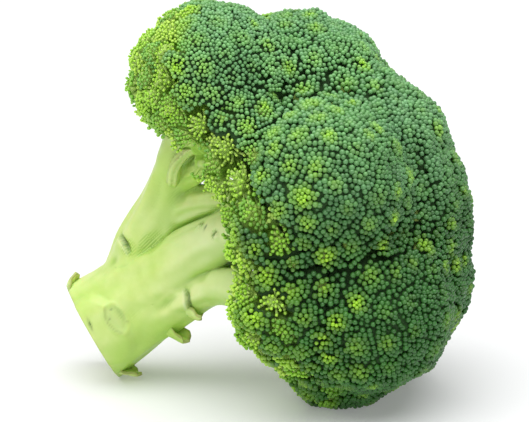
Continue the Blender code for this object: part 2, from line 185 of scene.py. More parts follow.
def on_spline(points, share):
    """A point at a share of the way along a smooth (Catmull-Rom) line through points."""
    ends = [2 * points[0] - points[1], *points, 2 * points[-1] - points[-2]]
    place = min(max(share, 0.0), 0.9999) * (len(points) - 1)
    i, t = int(place), place - int(place)
    a, b, c, d = ends[i : i + 4]
    return 0.5 * (2 * b + (c - a) * t + (2 * a - 5 * b + 4 * c - d) * t**2 + (3 * b - a - 3 * c + d) * t**3)


class Limb:
    """The trunk or one of its main limbs: a smooth line with a radius."""

    def __init__(self, rows):
        self.rows = [Vector((*(Vector(row[:3]) + SHIFT), row[3])) * MM for row in rows]

    def point(self, share):
        return on_spline(self.rows, share).xyz

    def radius(self, share):
        return on_spline(self.rows, share).w

    def heading(self, share):
        behind, ahead = max(share - HEADING_STEP, 0.0), min(share + HEADING_STEP, 1.0)
        return (self.point(ahead) - self.point(behind)).normalized()

    def on_bark(self, share, turn, slant):
        """A place on the limb's surface, and the headings along the limb, across it and out of it.

        turn goes round the limb, and slant turns the heading along it, in degrees.
        """
        heading = self.heading(share)
        level = heading.cross(Vector((0, 0, 1))).normalized()
        out = Matrix.Rotation(math.radians(turn), 3, heading) @ level
        place = self.point(share) + out * self.radius(share)
        heading = Matrix.Rotation(math.radians(slant), 3, out) @ heading
        return [np.array(v) for v in (place, heading, heading.cross(out), out)]


class Floret:
    """Where one floret is, which way it grows, and the branch that carries it."""

    def __init__(self, name, centre, radius, limb, leaves_at, branch_radii):
        self.name = name
        self.centre = shifted(centre)
        self.radius = radius * MM
        self.branch_radii = [r * MM for r in branch_radii]
        self.foot = limb.point(leaves_at)
        self.leaves_along = limb.heading(leaves_at)
        self.grows = (self.centre - self.foot).normalized()
        self.neck = self.centre - self.grows * self.radius * UNDERSIDE_DEPTH

    def branch_point(self, share):
        reach = (self.neck - self.foot).length / 3
        a, d = self.foot, self.neck
        b, c = a + self.leaves_along * reach, d - self.grows * reach
        t, s = share, 1 - share
        return a * s**3 + 3 * b * s**2 * t + 3 * c * s * t**2 + d * t**3


def unit(vectors):
    return vectors / np.linalg.norm(vectors, axis=-1, keepdims=True)


def smooth(low, high, values):
    """0 below low, 1 above high, and a smooth rise between."""
    t = np.clip((values - low) / (high - low), 0, 1)
    return t * t * (3 - 2 * t)


def bell(values):
    """1 at 0, and a smooth fall on both sides."""
    return np.exp(-(values**2))


def dot(a, b):
    return (a * b).sum(axis=-1)


def even_headings(count):
    """Unit vectors spread evenly over a sphere, on a spiral."""
    step = np.arange(count) + 0.5
    height, turn = 1 - 2 * step / count, math.pi * (1 + 5**0.5) * step
    out = np.sqrt(1 - height**2)
    return np.stack([out * np.cos(turn), out * np.sin(turn), height], axis=1)


def tree_of(places):
    tree = KDTree(len(places))
    for i, place in enumerate(places):
        tree.insert(place, i)
    tree.balance()
    return tree


class Crown:
    """The outer surface of the whole crown, shared out among the florets."""

    def __init__(self, florets):
        self.names = [f.name for f in florets]
        self.centres = np.array([f.centre for f in florets])
        self.radii = np.array([f.radius for f in florets])
        self.grows = np.array([f.grows for f in florets])
        self.apart = np.linalg.norm(self.centres[:, None] - self.centres[None], axis=2)
        self.creased = np.full(self.apart.shape, SOFT_CREASE)
        for depth, pairs in DEEP_CREASES.items():
            for pair in pairs:
                i, j = (self.names.index(name) for name in pair)
                self.creased[i, j] = self.creased[j, i] = depth

    def from_centres(self, points):
        """(vectors, lengths) from every floret's centre to each point."""
        away = points[:, None] - self.centres[None]
        return away, np.linalg.norm(away, axis=2)

    def powers(self, points):
        return self.from_centres(points)[1] ** 2 - CELL_WEIGHT * self.radii**2

    def owners(self, points):
        """Which floret's space each point is in."""
        return self.powers(points).argmin(axis=1)

    def to_walls(self, points, owners):
        """How far each point is inside its floret's wall towards each other floret."""
        powers = self.powers(points)
        rows = np.arange(len(points))
        apart = self.apart[owners]
        apart[rows, owners] = 1.0
        distance = (powers - powers[rows, owners][:, None]) / (2 * apart)
        distance[rows, owners] = 1.0
        return distance

    def wall_reach(self, number, headings):
        """How far a floret's own space goes from its centre along each heading: 1 metre if no wall is met."""
        wall = np.full(len(headings), 1.0)
        for other, apart in enumerate(self.apart[number]):
            if other != number:
                weights = CELL_WEIGHT * (self.radii[number] ** 2 - self.radii[other] ** 2)
                plane = (apart + weights / apart) / 2
                along = headings @ ((self.centres[other] - self.centres[number]) / apart)
                wall = np.minimum(wall, np.where(along > 1e-6, plane / np.maximum(along, 1e-6), 1))
        return wall

    def reach(self, owners, headings, depth=0.0):
        """How far it is from the owner's centre to a depth below the crown's surface, or to the floor."""
        inside = np.exp(depth / CREASE_FILL)
        near, far = (share * self.radii[owners] for share in SEARCH)
        centres = self.centres[owners]
        for _ in range(SEARCH_ROUNDS):
            middle = (near + far) / 2
            _, away = self.from_centres(centres + headings * middle[:, None])
            within = np.exp((self.radii - away) / CREASE_FILL).sum(axis=1) > inside
            near, far = np.where(within, middle, near), np.where(within, far, middle)
        down = np.maximum(-headings[:, 2], 1e-6)
        return np.minimum(near, centres[:, 2] / down)

    def on_surface(self, points):
        owners = self.owners(points)
        headings = unit(points - self.centres[owners])
        return self.centres[owners] + headings * self.reach(owners, headings)[:, None]

    def normals(self, points):
        away, length = self.from_centres(points)
        weight = np.exp((self.radii - length) / CREASE_FILL) / length
        normals = unit((weight[..., None] * away).sum(axis=1))
        normals[points[:, 2] < ON_FLOOR] = (0, 0, -1)
        return normals

    def to_rim(self, points, owners):
        """How far each point is inside the carpet's rim, where the stems come in underneath."""
        away, _ = self.from_centres(points)
        height = dot(away, self.grows[None])
        out = np.linalg.norm(away - height[..., None] * self.grows[None], axis=2)
        above = height + UNDERSIDE_DEPTH * self.radii - UNDERSIDE_SLOPE * out
        beyond = self.to_walls(points, owners)
        beyond[np.arange(len(points)), owners] = 0.0
        return (above - beyond).max(axis=1)

    def all_places(self):
        """Places all over the crown's outer surface, PLACE_SPACING apart."""
        found = []
        for i, radius in enumerate(1.15 * self.radii):  # the surface stands out beyond a floret's radius
            headings = even_headings(int(4 * math.pi * (radius / PLACE_SPACING) ** 2))
            owners = np.full(len(headings), i)
            places = self.centres[i] + headings * self.reach(owners, headings)[:, None]
            found.append(places[(self.owners(places) == i) & (self.to_rim(places, owners) > -RIM_HANG)])
        return np.concatenate(found)


# ---- bunches and buds


def scattered(places, spacing, noise):
    """Indices of places about a spacing apart, taken in random order."""
    tree, free, taken = tree_of(places), np.ones(len(places), bool), []
    for i in noise.permutation(len(places)):
        if free[i]:
            taken.append(i)
            for _, j, _ in tree.find_range(places[i], PACKING * spacing[i]):
                free[j] = False
    return np.array(taken)


def eased_apart(crown, places, spacing, rounds):
    """The places moved over the crown's surface until none crowds another."""
    tree, pairs = tree_of(places), []
    for i, place in enumerate(places):
        pairs += [(i, j) for _, j, _ in tree.find_range(place, 1.5 * spacing[i]) if j > i]
    first, second = np.array(pairs).T
    wanted = (spacing[first] + spacing[second]) / 2
    for _ in range(rounds):
        apart = places[second] - places[first]
        length = np.linalg.norm(apart, axis=1) + 1e-9
        push = apart * (PUSH * np.maximum(wanted - length, 0) / length)[:, None]
        move = np.zeros_like(places)
        np.add.at(move, second, push)
        np.add.at(move, first, -push)
        places = crown.on_surface(places + move)
    return places


class Bunches:
    """The bunches that the crown's buds stand in."""

    def __init__(self, crown, places, noise):
        self.crown = crown
        spacing = BUNCH_SPACING * noise.uniform(*BUNCH_UNEVEN, len(places))
        taken = scattered(places, spacing, noise)
        self.middles = eased_apart(crown, places[taken], spacing[taken], BUNCH_ROUNDS)
        self.normals = crown.normals(self.middles)
        self.roots = self.middles - self.normals * BUNCH_ROOT
        self.tree = tree_of(self.middles)
        self.phases = noise.uniform(0, math.tau, (2, 3))
        count = len(self.middles)
        self.loosened = noise.uniform(-0.3, 0.3, count)
        self.tuft = np.zeros(count)
        for place in TUFTS:
            _, number, _ = self.tree.find(shifted(place))
            self.tuft[number] = 1.0
        leftward = smooth(-0.2, 0.7, self.normals @ unit(np.array(LEFTWARD)))
        self.youth = np.clip(noise.beta(0.6, 1.7, count) + 0.5 * leftward + self.tuft, 0, 1)
        self.spot = noise.uniform(*YOUNG_SPOT, count) * (1 + 0.5 * leftward)
        self.tone = np.maximum(noise.uniform(0, 1, count), 0.7 * self.tuft)

    def openness(self, places, index):
        """1 where the buds stand loose on long stems, as they do towards the stalk, and 0 elsewhere."""
        facing = [OPENINGS.get(name, OPENS_ELSE) for name in self.crown.names]
        owners = self.crown.owners(places)
        wanted = unit(np.array([f[0] for f in facing]))[owners]
        low = np.array([f[1] for f in facing])[owners] + self.loosened[index]
        opens = smooth(low, low + 0.3, dot(self.crown.normals(places), wanted))
        return np.maximum(opens, self.tuft[index])

    def nearest(self, places):
        """(index, distance) of the bunch of each place."""
        wander = WANDER * np.sin(places[:, [1, 2, 0]] / WANDER_WIDTHS[0] + self.phases[0])
        wander += 0.6 * WANDER * np.sin(places[:, [2, 0, 1]] / WANDER_WIDTHS[1] + self.phases[1])
        found = [self.tree.find(place) for place in places + wander]
        index = np.array([f[1] for f in found])
        return index, np.linalg.norm(places - self.middles[index], axis=1)

    def drop(self, places, index, away):
        """How far the bud tips are below the crown's smooth surface."""
        apart = 1 + LOOSE_RISE * self.openness(places, index)
        dome = BUNCH_RISE * apart * np.minimum(away / BUNCH_EDGE, 1.2) ** 2
        owners = self.crown.owners(places)
        clear = np.maximum(self.crown.to_walls(places, owners), 0)
        crease = (self.crown.creased[owners] * bell(clear / CREASE_WIDTH)).max(axis=1)
        waves = np.sin(places / UNEVEN_WIDTH + self.phases[0])
        waves += np.sin(places[:, [1, 2, 0]] / (1.6 * UNEVEN_WIDTH))
        uneven = UNEVEN * (0.5 + 0.28 * waves.sum(axis=1))
        return (dome + CREASE_DEPTH * crease + uneven) * smooth(0, PRESSED, places[:, 2])

    def spacing(self, places, index, away):
        finer = np.array([FINER.get(name, 1.0) for name in self.crown.names])[self.crown.owners(places)]
        middle = BUD_EDGE + (BUD_MIDDLE - BUD_EDGE) * self.youth[index] ** 0.7
        grown = np.minimum(away / BUD_GROWS_OVER, 1) ** 0.9
        return (middle + (BUD_EDGE - middle) * grown) * finer * (1 + (TUFT_LOOSE - 1) * self.tuft[index])


def bud_places(crown, bunches, places, noise):
    """Where the buds stand on the crown's surface: as close as their bunches say, up to a ragged rim."""
    spacing = bunches.spacing(places, *bunches.nearest(places))
    ragged = noise.uniform(-0.8, 0.6, len(places)) * RIM_HANG
    kept = crown.to_rim(places, crown.owners(places)) > ragged
    kept &= np.linalg.norm(places - np.array(shifted(CLEARED[0])), axis=1) > CLEARED[1] * MM
    places, spacing = places[kept], spacing[kept]
    taken = scattered(places, spacing, noise)
    return eased_apart(crown, places[taken], spacing[taken], BUD_ROUNDS)


class Buds:
    """Every bud of the crown, as arrays."""

    def __init__(self, crown, bunches, places, noise):
        self.bunch, away = bunches.nearest(places)
        self.owners = crown.owners(places)
        self.opens = bunches.openness(places, self.bunch)
        self.rim = crown.to_rim(places, self.owners)
        self.stand(crown, bunches, places, away, noise)
        self.colour(bunches, away, noise)
        self.spin = noise.uniform(0, math.tau, len(places))

    def stand(self, crown, bunches, places, away, noise):
        """How deep the buds stand, which way they point and how large they are."""
        count, tuft = len(places), bunches.tuft[self.bunch]
        drop = bunches.drop(places, self.bunch, away) + noise.normal(0, 0.2, count) * MM
        sunk = noise.uniform(0, 1, count)
        drop += (sunk < SUNK_SHARE) * SUNK + sunk * self.opens * (LOOSE_SUNK + TUFT_SUNK * tuft)
        self.tips = places - crown.normals(places) * drop[:, None]
        scatter = noise.normal(0, BUD_SCATTER, places.shape) * (1 + self.opens[:, None])
        self.axes = unit(self.tips - bunches.roots[self.bunch] + scatter)
        self.radii = BUD_RADIUS * bunches.spacing(places, self.bunch, away) * noise.uniform(0.84, 1.08, count)
        self.radii *= (1 - 0.3 * self.opens) * (1 + (TUFT_FINE - 1) * tuft)

    def colour(self, bunches, away, noise):
        count = len(away)
        young = bunches.youth[self.bunch] * bell(away / bunches.spot[self.bunch])
        self.young = young * noise.uniform(0.6, 1.1, count)
        self.own_bunch = bunches.tone[self.bunch]
        self.tone = 0.6 * self.own_bunch + 0.4 * noise.uniform(0, 1, count)
        self.tint = noise.uniform(0, 1, count)

    def of(self, chosen):
        """The chosen buds alone."""
        part = Buds.__new__(Buds)
        part.__dict__ = {key: values[chosen] for key, values in self.__dict__.items()}
        return part


# ---- meshes


def mesh_of(name, points, faces):
    """A mesh from points, kept above the floor, and arrays of faces, each of one number of corners."""
    mesh = bpy.data.meshes.new(name)
    mesh.vertices.add(len(points))
    points = np.maximum(points, (-np.inf, -np.inf, 0.0))
    mesh.vertices.foreach_set("co", points.astype(np.float32).ravel())
    corners = np.concatenate([f.ravel() for f in faces])
    starts, at = [], 0
    for block in faces:
        starts.append(at + np.arange(len(block)) * block.shape[1])
        at += block.size
    mesh.loops.add(len(corners))
    mesh.loops.foreach_set("vertex_index", corners.astype(np.int32))
    starts = np.concatenate(starts).astype(np.int32)
    mesh.polygons.add(len(starts))
    mesh.polygons.foreach_set("loop_start", starts)
    mesh.polygons.foreach_set("use_smooth", np.full(len(starts), True))
    mesh.update(calc_edges=True)
    return mesh


def attribute(mesh, name, values):
    layer = mesh.attributes.new(name, "FLOAT", "POINT")
    layer.data.foreach_set("value", np.asarray(values, np.float32))


def vectors(mesh, kind):
    """The mesh's places ("co") or normals ("normal"), one to a vertex."""
    values = np.empty(len(mesh.vertices) * 3, np.float32)
    mesh.vertices.foreach_get(kind, values)
    return values.reshape(-1, 3).astype(float)


def mesh_from(bm, name):
    """A new mesh of what the bmesh holds; the bmesh is freed."""
    mesh = bpy.data.meshes.new(name)
    bm.to_mesh(mesh)
    bm.free()
    return mesh


def place_piece(name, mesh, slot, skins, *nodes):
    obj = bpy.data.objects.new(name, mesh)
    bpy.context.scene.collection.objects.link(obj)
    for skin in skins:
        mesh.materials.append(skin)
    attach(obj, "root")
    if nodes:
        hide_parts(*nodes)
    return obj


def bud_template():
    """One bud of radius 1 along +Z with its tip at 0: points, faces and distances from its tip."""
    turn = np.arange(BUD_SIDES) * math.tau / BUD_SIDES
    points, spread = [(0, 0, 0)], [0.0]
    for k, (height, radius) in enumerate(BUD_PROFILE):
        twisted = turn + 0.5 * k * math.tau / BUD_SIDES
        points += [(radius * math.cos(t), radius * math.sin(t), height - BUD_TIP) for t in twisted]
        spread += [(k + 1) / len(BUD_PROFILE)] * BUD_SIDES
    points.append((0, 0, BUD_ROOT - BUD_TIP))
    spread.append(1.0)
    last = len(points) - 1
    a = np.arange(BUD_SIDES)
    b = (a + 1) % BUD_SIDES
    rings = 1 + BUD_SIDES * np.arange(len(BUD_PROFILE))
    bands = [np.stack([low + a, low + b, high + b, high + a], axis=1) for high, low in zip(rings, rings[1:])]
    top = np.stack([0 * a, 1 + a, 1 + b], axis=1)
    root = np.stack([rings[-1] + b, rings[-1] + a, 0 * a + last], axis=1)
    return np.array(points), np.concatenate([top, root]), np.concatenate(bands), np.array(spread)


def frames_along(axes, spin):
    """A rotation for each axis, turned round it by spin."""
    side = unit(np.cross(axes, np.where(np.abs(axes[:, 2:]) < 0.9, (0, 0, 1.0), (1.0, 0, 0))))
    other = np.cross(axes, side)
    c, s = np.cos(spin)[:, None], np.sin(spin)[:, None]
    return np.stack([side * c + other * s, other * c - side * s, axes], axis=2)


def buds_mesh(buds):
    template, fans, bands, spread = bud_template()
    count, size = len(buds.tips), len(template)
    turned = np.einsum("nij,kj->nki", frames_along(buds.axes, buds.spin), template)
    points = (buds.tips[:, None] + turned * buds.radii[:, None, None]).reshape(-1, 3)
    step = (np.arange(count) * size)[:, None, None]
    mesh = mesh_of("buds", points, [(fans + step).reshape(-1, 3), (bands + step).reshape(-1, 4)])
    height = (template[:, 2] - template[:, 2].min()) / -template[:, 2].min()
    attribute(mesh, "up_bud", np.tile(height, count))
    loose = np.clip(0.85 * buds.opens + 0.5 * np.exp(-np.maximum(buds.rim, 0) / (5 * MM)), 0, 1)
    tones = {"young": buds.young, "loose": loose, "tint": buds.tint, "tone": buds.tone}
    tones["bunch"] = buds.own_bunch
    for key, values in tones.items():
        attribute(mesh, key, np.repeat(values, size))
    bud_map(mesh, template, spread, fans, bands, count)
    return mesh


def bud_map(mesh, template, spread, fans, bands, count):
    """A flat map with one tile for each bud, seen from above its tip."""
    length = np.maximum(np.linalg.norm(template[:, :2], axis=1, keepdims=True), 1e-9)
    flat = 0.5 + 0.47 * template[:, :2] / length * spread[:, None]
    corners = [flat[fans].reshape(-1, 2), flat[bands].reshape(-1, 2)]
    hidden = 3 * BUD_SIDES
    corners[0][hidden:] = 0.02 + 0.01 * np.array([(0, 0), (1, 0), (0, 1)] * BUD_SIDES)
    columns = math.ceil(math.sqrt(count))
    tile = np.stack([np.arange(count) % columns, np.arange(count) // columns], axis=1)[:, None]
    mapped = np.concatenate([((c + tile) / columns).reshape(-1, 2) for c in corners])
    layer = mesh.uv_layers.new(name="OFBake")
    layer.uv.foreach_set("vector", mapped.astype(np.float32).ravel())


def tube_arrays(lines, sides):
    """(points, quads, caps) of thin stems, each given as (points, radii), closed at both ends."""
    turn = np.arange(sides) * math.tau / sides
    ring = np.stack([np.cos(turn), np.sin(turn), 0 * turn], axis=1)
    points, quads, caps, at = [], [], [], 0
    a = np.arange(sides)
    b = (a + 1) % sides
    for line, radii in lines:
        headings = unit(np.gradient(line, axis=0))
        turned = np.einsum("nij,kj->nki", frames_along(headings, np.zeros(len(line))), ring)
        points.append((line[:, None] + turned * np.asarray(radii)[:, None, None]).reshape(-1, 3))
        for k in range(len(line) - 1):
            low, high = at + k * sides, at + (k + 1) * sides
            quads.append(np.stack([low + a, low + b, high + b, high + a], axis=1))
        caps += [(at + a)[::-1], at + (len(line) - 1) * sides + a]
        at += len(line) * sides
    return np.concatenate(points), np.concatenate(quads), np.array(caps)


# ---- florets


def stem(start, leaves, end, arrives, radii):
    """(points, radii) of a smooth stem from start, leaving one way, to end, arriving another."""
    reach = np.linalg.norm(end - start) / 3
    t = np.linspace(0, 1, len(radii))[:, None]
    b, c = start + leaves * reach, end - arrives * reach
    points = start * (1 - t) ** 3 + 3 * b * (1 - t) ** 2 * t + 3 * c * (1 - t) * t**2 + end * t**3
    return points, np.array(radii) * MM


def stem_lines(floret, bunches, buds, noise):
    """The stems under a floret: one to each bunch, then one to each bud that shows from the side."""
    start, grows = np.array(floret.branch_point(0.8)), np.array(floret.grows)
    bunch_stems, bud_stems = [], []
    for i in np.unique(buds.bunch):
        normal = bunches.normals[i]
        end = bunches.middles[i] - normal * BUNCH_STEM_ENDS
        foot = start + noise.normal(0, 1.5, 3) * MM
        bunch_stems.append(stem(foot, grows, end, normal, BUNCH_STEM))
    for i in np.flatnonzero((buds.rim < SHOWS_IN) | (buds.opens > SHOWS_OPEN)):
        normal = bunches.normals[buds.bunch[i]]
        end = buds.tips[i] - buds.axes[i] * buds.radii[i] * 2.4
        foot = bunches.middles[buds.bunch[i]] - normal * BUD_STEM_STARTS + noise.normal(0, 0.6, 3) * MM
        bud_stems.append(stem(foot, normal, end, buds.axes[i], BUD_STEM))
    return bunch_stems, bud_stems


def stems_mesh(bunch_stems, bud_stems):
    points, quads, caps = tube_arrays(bunch_stems, STEM_SIDES[0])
    faces, size = [quads, caps], len(points)
    if bud_stems:
        more, quads, caps = tube_arrays(bud_stems, STEM_SIDES[1])
        points = np.concatenate([points, more])
        faces += [quads + size, caps + size]
    mesh = mesh_of("stems", points, faces)
    attribute(mesh, "thin", np.arange(len(points)) >= size)
    return mesh


def sphere_faces(count):
    """Headings spread over a sphere, and the triangles between them."""
    bm = bmesh.new()
    for heading in even_headings(count):
        bm.verts.new(heading)
    bmesh.ops.convex_hull(bm, input=bm.verts)
    bmesh.ops.recalc_face_normals(bm, faces=bm.faces)
    bm.verts.index_update()
    headings = np.array([v.co for v in bm.verts])
    faces = np.array([[v.index for v in f.verts] for f in bm.faces])
    bm.free()
    return headings, faces


def shell_mesh(layers, faces):
    """(mesh, indices of the points used) of the shell between two layers of points, closed at its border."""
    edges = np.concatenate([faces[:, [0, 1]], faces[:, [1, 2]], faces[:, [2, 0]]])
    both = {tuple(edge) for edge in edges.tolist()}
    a, b = np.array([edge for edge in both if edge[::-1] not in both]).T
    step = len(layers[0])
    used = np.unique(np.concatenate([faces.ravel(), faces.ravel() + step]))
    renumber = np.zeros(2 * step, int)
    renumber[used] = np.arange(len(used))
    skin = renumber[np.concatenate([faces, faces[:, ::-1] + step])]
    rim = renumber[np.stack([b, a, a + step, b + step], axis=1)]
    return mesh_of("core", np.concatenate(layers)[used], [skin, rim]), used


def core_mesh(number, crown, bunches):
    """What the buds stand on: a thick shell a little below the bud tips, where the stems divide."""
    headings, faces = sphere_faces(CORE_POINTS)
    owners = np.full(len(headings), number)
    wall = crown.wall_reach(number, headings)
    places = crown.centres[number] + headings * np.minimum(crown.reach(owners, headings), wall)[:, None]
    rim = crown.to_rim(places, owners)
    index, away = bunches.nearest(places)
    opens = bunches.openness(places, index)
    depth = CORE_DEPTH + OPEN_DEPTH * opens + TUFT_DEPTH * bunches.tuft[index]
    depth += bunches.drop(places, index, away)
    waves = 1 + SHELL_WAVES * np.sin(places / SHELL_WAVE_WIDTH).sum(axis=1)
    outer = crown.reach(owners, headings, depth)
    inner = crown.reach(owners, headings, np.maximum(depth + SHELL_LEAST, SHELL) * waves)
    faces = faces[((inner < wall) & (rim > -RIM_HANG))[faces].any(axis=1)]
    outer = np.minimum(outer, wall)
    inner = np.minimum(inner, outer - SHELL_AT_WALL)
    layers = [crown.centres[number] + headings * layer[:, None] for layer in (outer, inner)]
    mesh, used = shell_mesh(layers, faces)
    loose = np.clip(0.8 * opens + 0.6 * np.exp(-np.maximum(rim, 0) / (4 * MM)), 0, 1)
    attribute(mesh, "loose", np.tile(loose, 2)[used])
    attribute(mesh, "under", used >= len(headings))
    return mesh


def dress_floret(number, floret, crown, bunches, buds, skins, noise):
    own = buds.of(buds.owners == number)
    name = floret.name
    place_piece(f"buds_{name}", buds_mesh(own), "buds", [skins["buds"]], f"floret_{name}")
    place_piece(f"core_{name}", core_mesh(number, crown, bunches), "buds", [skins["core"]])
    stems = stems_mesh(*stem_lines(floret, bunches, own, noise))
    place_piece(f"stems_{name}", stems, "stalk", [skins["stems"]])


# ---- stalk

STALK_VOXEL = 0.68 * MM
SOFTEN = (0.6, 6)  # factor and rounds
LIMB_STEPS, BRANCH_STEPS = 41, 21
FILLET = (2.2 * MM, 0.8 * MM)  # how softly limbs run into each other, at the cut end and at the crown
FILLET_CHANGES = (20 * MM, 60 * MM)  # from the cut end
FILLET_MOST = 4 * MM
FILLET_ROUNDS = 2
BURIED, BURIED_SHARE = 0.4, 0.35  # how much thinner a limb starts, inside the trunk, and how far along
LUMP, LUMP_WIDTH = 0.15 * MM, 3.1 * MM  # small lumps all over the bark
RIDGE, RIDGE_FADES = 0.5 * MM, 3 * MM  # ridges fade where the next limb is this near
RIDGES = [(0.6, 5, 14 * MM), (0.4, 9, -9 * MM)]  # share, how many there are round a limb, and their pitch
GROOVE_DEPTH = 0.5 * MM
GROOVE_ROUNDS, VALLEY_ROUNDS = 6, 30  # of smoothing, before grooves and valleys are told from the rest
GROOVE, VALLEY = (0.004 * MM, 0.04 * MM), (-0.002 * MM, 0.010 * MM)  # where they begin and are full, for the grooves' depth and for the painted shade in grooves and valleys
PALE_FROM_CUT, PALE_BELOW = (32 * MM, 60 * MM), (78 * MM, 60 * MM)  # where the stalk's pale middle is
CUT_EDGE, CUT_EDGE_WIDTH = 0.35, 0.8 * MM  # the brown edge round the cut end: its tone and its width
TWIGS = [
    [(-68, 31, 56, 5), (-54, 25, 64, 4.5), (-34, 12, 71, 4.5)],
    [(-62, 14, 82, 2.4), (-60, 11.5, 90, 2.1), (-54, 8, 95.5, 1.9), (-48, 3, 94, 1.8), (-45, 0, 86, 1.9)],
]
# Leaf scales pressed to the bark, open towards the crown: limb, share along it, turn and slant in
# degrees, then length, half-width and lift in millimetres.
POCKETS = [
    ("upper", 0.345, -24, -14, 9, 5.0, 1.5),
    ("lower", 0.575, 14, -26, 9, 4.6, 1.6),
    ("front", 0.81, -50, 70, 3, 1.8, 0.7),
    ("front", 0.92, -4, 115, 3, 1.6, 0.7),
    ("back", 0.45, 160, -10, 9, 5.0, 1.5),
    ("trunk", 0.22, 175, 5, 9, 7.0, 1.6),
]
# Leaf bases that stand free: limb, share, turn, slant, length, width, lift and thickness.
FLAPS = [
    ("lower", 0.55, 62, -6, 9, 8, 2.2, 1.6),
    ("lower", 0.36, 84, 0, 11, 9, 4.5, 1.8),
    ("trunk", 0.07, 84, 0, 10, 12, 3.0, 1.8),
    ("trunk", 0.07, -80, 0, 9, 13, 1.6, 1.6),
]
FLAP_GRID = (12, 19)  # points along one and across it
FLAP_SUNK = 0.6  # how deep its foot is in the bark
FLAP_OFF_CUT = 0.2 * MM  # how far it stays behind the cut face
# Swellings of the stem: limb, share, turn, slant, half-length, half-width and height in millimetres.
SWELLINGS = [
    ("upper", 0.25, -5, -30, 8, 2.6, 1.1),
    ("trunk", 0.36, -48, 0, 12, 3.0, 1.0),
    ("front", 0.45, -40, 0, 18, 2.6, 1.0),
    ("front", 0.62, 15, 0, 16, 3.0, 0.7),
    ("lower", 0.50, -30, 0, 16, 2.6, 1.0),
    ("upper", 0.62, -20, 0, 18, 3.0, 1.2),
    ("upper", 0.55, 60, 0, 14, 2.5, 0.8),
    ("trunk", 0.20, 60, 0, 14, 3.0, 0.8),
]
# Small dark marks: limb, share, turn, slant, half-length and half-width.
MARKS = [("trunk", 0.13, -6, 80, 2.0, 0.45), ("front", 0.86, -34, 60, 1.2, 0.5)]
MARK_DEPTH = 0.5
BARK_DEPTH = 8.0  # all of these only shape the bark that is this near to their place on it
# The raised seat of the largest leaf, and the oval that the leaf left on it: limb, share, turn, slant
# and two half-sizes.
CUSHION = ("trunk", 0.13, 8, 0, 12.0, 15.0)
SCAR = ("trunk", 0.235, 3, 0, 3.4, 5.6)
CUSHION_HEIGHT = 1.4
SCAR_RIM, SCAR_DIP = 0.5, 0.3
SCAR_DOTS = [(0.1, -0.7), (-0.6, -0.25), (0.8, 0.6)]  # in half-sizes of the scar
SCAR_DOT = 0.42  # a dot's radius, in millimetres


def tubes(lines):
    """A mesh of a round tube along each line of (points, radii)."""
    curve = bpy.data.curves.new("tubes", "CURVE")
    curve.dimensions = "3D"
    curve.bevel_depth = 1.0
    curve.bevel_resolution = 6
    curve.use_fill_caps = True
    for points, radii in lines:
        spline = curve.splines.new("POLY")
        spline.points.add(len(points) - 1)
        spline.points.foreach_set("co", np.insert(points, 3, 1.0, axis=1).ravel())
        spline.points.foreach_set("radius", radii)
    return baked(scene_object(curve))


def scene_object(data):
    obj = bpy.data.objects.new(data.name, data)
    bpy.context.scene.collection.objects.link(obj)
    return obj


def baked(obj):
    """The object's mesh with its modifiers applied; the object itself goes."""
    bpy.context.view_layer.update()
    graph = bpy.context.evaluated_depsgraph_get()
    mesh = bpy.data.meshes.new_from_object(obj.evaluated_get(graph), depsgraph=graph)
    bpy.data.objects.remove(obj)
    return mesh


def sampled(limb, count):
    shares = np.linspace(0, 1, count)
    return np.array([limb.point(s) for s in shares]), np.array([limb.radius(s) for s in shares])


def limb_lines(limbs, florets):
    """(points, radii) along the trunk, its limbs, each floret's branch and the twigs."""
    lines = []
    for name, limb in limbs.items():
        points, radii = sampled(limb, LIMB_STEPS)
        if name == "trunk":
            points = np.vstack([points[0] - np.array(limb.heading(0.0)) * CUT_OVERRUN, points])
            radii = np.concatenate([radii[:1], radii])
        else:
            radii *= 1 - BURIED * (1 - smooth(0, BURIED_SHARE, np.linspace(0, 1, LIMB_STEPS)))
        lines.append((points, radii))
    for floret in florets:
        shares = np.linspace(0, 1, BRANCH_STEPS)
        foot, tip = floret.branch_radii
        points = [floret.branch_point(s) for s in shares]
        points.append(floret.neck + floret.grows * 0.2 * floret.radius)
        lines.append((np.array(points), np.append(foot + (tip - foot) * shares, 0.5 * tip)))
    return lines + [sampled(Limb(twig), BRANCH_STEPS) for twig in TWIGS]


def grown_together(lines):
    grown = scene_object(tubes(lines))
    remesh = grown.modifiers.new("grown_together", "REMESH")
    remesh.mode = "VOXEL"
    remesh.voxel_size = STALK_VOXEL
    soften = grown.modifiers.new("soften", "SMOOTH")
    soften.factor, soften.iterations = SOFTEN
    return baked(grown)


def moved(mesh, places):
    mesh.vertices.foreach_set("co", places.astype(np.float32).ravel())
    mesh.update()


def outside(places, lines):
    """How far each place is outside each line's tube, and the nearest point's number on it."""
    distance = np.empty((len(lines), len(places)))
    number = np.empty((len(lines), len(places)), int)
    for n, (points, radii) in enumerate(lines):
        away = np.linalg.norm(places[:, None] - points[None], axis=2) - radii
        number[n] = away.argmin(axis=1)
        distance[n] = away.min(axis=1)
    return distance, number


def run_together(mesh, lines):
    """Moves the stalk's surface out where limbs meet, so that they run smoothly into each other."""
    for _ in range(FILLET_ROUNDS):
        places = vectors(mesh, "co")
        from_cut = np.linalg.norm(places - np.array(CUT_CENTRE), axis=1)
        soft = FILLET[0] + (FILLET[1] - FILLET[0]) * smooth(*FILLET_CHANGES, from_cut)
        distance, _ = outside(places, lines)
        level = -soft * np.log(np.exp(-distance / soft).sum(axis=0))
        level = np.clip(level, -FILLET_MOST, FILLET_MOST)
        moved(mesh, places - vectors(mesh, "normal") * level[:, None])


